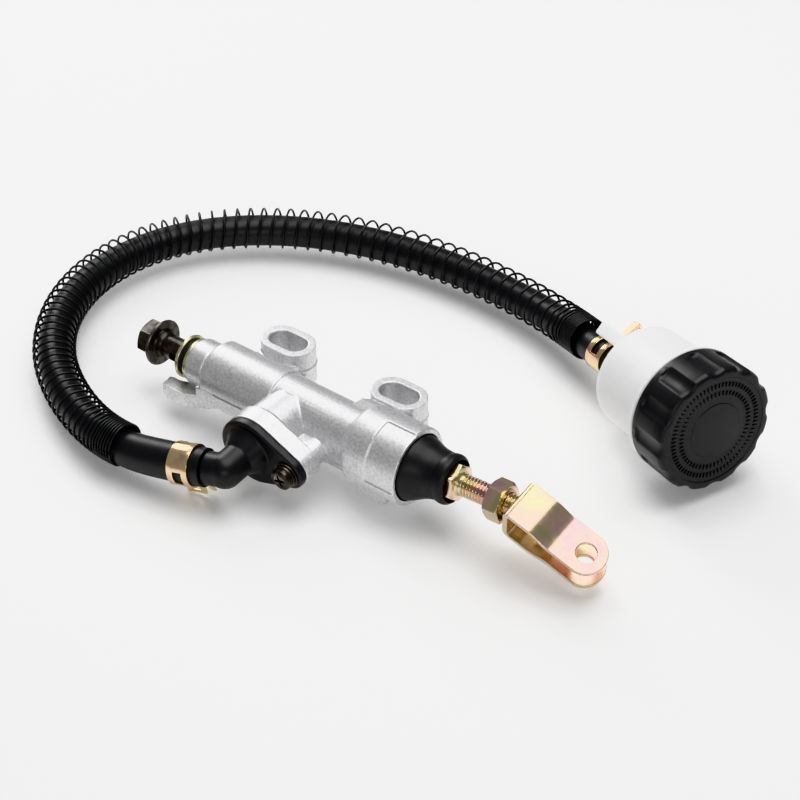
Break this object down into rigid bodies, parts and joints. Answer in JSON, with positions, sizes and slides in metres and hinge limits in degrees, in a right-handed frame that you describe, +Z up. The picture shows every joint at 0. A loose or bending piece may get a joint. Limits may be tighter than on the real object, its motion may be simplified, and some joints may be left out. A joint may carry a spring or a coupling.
{
  "type": "motorcycle rear brake master cylinder",
  "caption": "Cast rear brake master cylinder with slotted lugs, clevis pushrod, outlet bolt, and a spring-guarded feed hose to a remote screw-cap reservoir.",
  "frame": {"origin": "middle of the two mounting slots, on the lugs' lower faces", "axes": "+X along the bore towards the clevis, +Y from the bore towards the mounting lugs, +Z up through the slots"},
  "size_m": [0.2636, 0.1752, 0.0505],
  "materials": {
    "cast_aluminium": "bead-blasted casting",
    "blackened_steel": "black oxide",
    "washer_zinc": "pale zinc",
    "black_rubber": "matt",
    "anodised_aluminium": "anodised",
    "spring_steel": "drawn wire",
    "boot_rubber": "satin",
    "yellow_zinc": "iridescent yellow passivated zinc",
    "black_plastic": "satin moulded",
    "hose_rubber": "satin",
    "guard_wire": "black coated wire",
    "copper_zinc": "copper-toned passivated",
    "white_plastic": "translucent moulded",
    "cap_plastic": "satin moulded"
  },
  "bodies": {
    "cylinder": {"cylinder_body": "cast_aluminium", "sealing_washer_inner": "washer_zinc", "sealing_washer_outer": "washer_zinc", "retainer_ring": "black_rubber", "stop_plate": "spring_steel", "circlip": "spring_steel", "boot": "boot_rubber", "return_spring": "spring_steel", "elbow_fitting": "black_plastic", "fitting_o_ring": "black_rubber", "fitting_flat_washer": "blackened_steel", "fitting_spring_washer": "blackened_steel", "fitting_screw": "blackened_steel", "feed_hose": "hose_rubber", "hose_guard": "guard_wire", "hose_clamp_lower": "copper_zinc", "hose_clamp_upper": "copper_zinc", "reservoir_bottle": "white_plastic", "reservoir_outlet": "white_plastic"},
    "piston": {"piston": "anodised_aluminium", "primary_cup": "black_rubber", "secondary_cup": "black_rubber", "spring_seat": "spring_steel"},
    "pushrod": {"pushrod": "yellow_zinc"},
    "lock_nut": {"lock_nut": "yellow_zinc"},
    "joint_nut": {"joint_nut": "yellow_zinc"},
    "clevis": {"clevis": "yellow_zinc"},
    "banjo_bolt": {"banjo_bolt": "blackened_steel"},
    "diaphragm": {"diaphragm_plate": "white_plastic", "diaphragm": "black_rubber"},
    "cap": {"reservoir_cap": "cap_plastic"}
  },
  "joints": [
    {"name": "piston_stroke", "type": "slide", "parent": "cylinder", "child": "piston", "axis": [-1, 0, 0], "range_m": [0, 0.011], "stiffness_N_per_m": 1200, "springref_m": -0.012, "deforming": ["return_spring", "boot"]},
    {"name": "pushrod_tilt", "type": "hinge", "parent": "piston", "child": "pushrod", "pos_m": [0.026, -0.021, 0.0075], "axis": [0, -0.7219, 0.6919], "range_deg": [-6, 2]},
    {"name": "nut_adjust", "type": "slide", "parent": "pushrod", "child": "joint_nut", "axis": [0.9993, 0.0266, 0.0277], "range_m": [-0.0038, 0.002]},
    {"name": "lock_nut_adjust", "type": "slide", "parent": "pushrod", "child": "lock_nut", "axis": [0.9993, 0.0266, 0.0277], "range_m": [-0.0038, 0.002]},
    {"name": "clevis_rock", "type": "hinge", "parent": "joint_nut", "child": "clevis", "pos_m": [0.08955, -0.01931, 0.00926], "axis": [-0.1033, -0.9132, -0.3943], "range_deg": [0, 29]},
    {"name": "outlet_bolt_travel", "type": "slide", "parent": "cylinder", "child": "banjo_bolt", "axis": [1, 0, 0], "range_m": [0, 0.011]},
    {"name": "cap_lift", "type": "slide", "parent": "cylinder", "child": "diaphragm", "axis": [0.9297, -0.3569, 0.0906], "range_m": [0, 0.01]},
    {"name": "cap_turn", "type": "hinge", "parent": "diaphragm", "child": "cap", "pos_m": [0.1214, 0.0493, 0.0149], "axis": [0.9297, -0.3569, 0.0906], "range_deg": [0, 900]}
  ],
  "couplings": [
    {"joint": "lock_nut_adjust", "follows": "nut_adjust", "ratio": 1},
    {"joint": "cap_turn", "follows": "cap_lift", "rad_per_m": 1570.8}
  ]
}
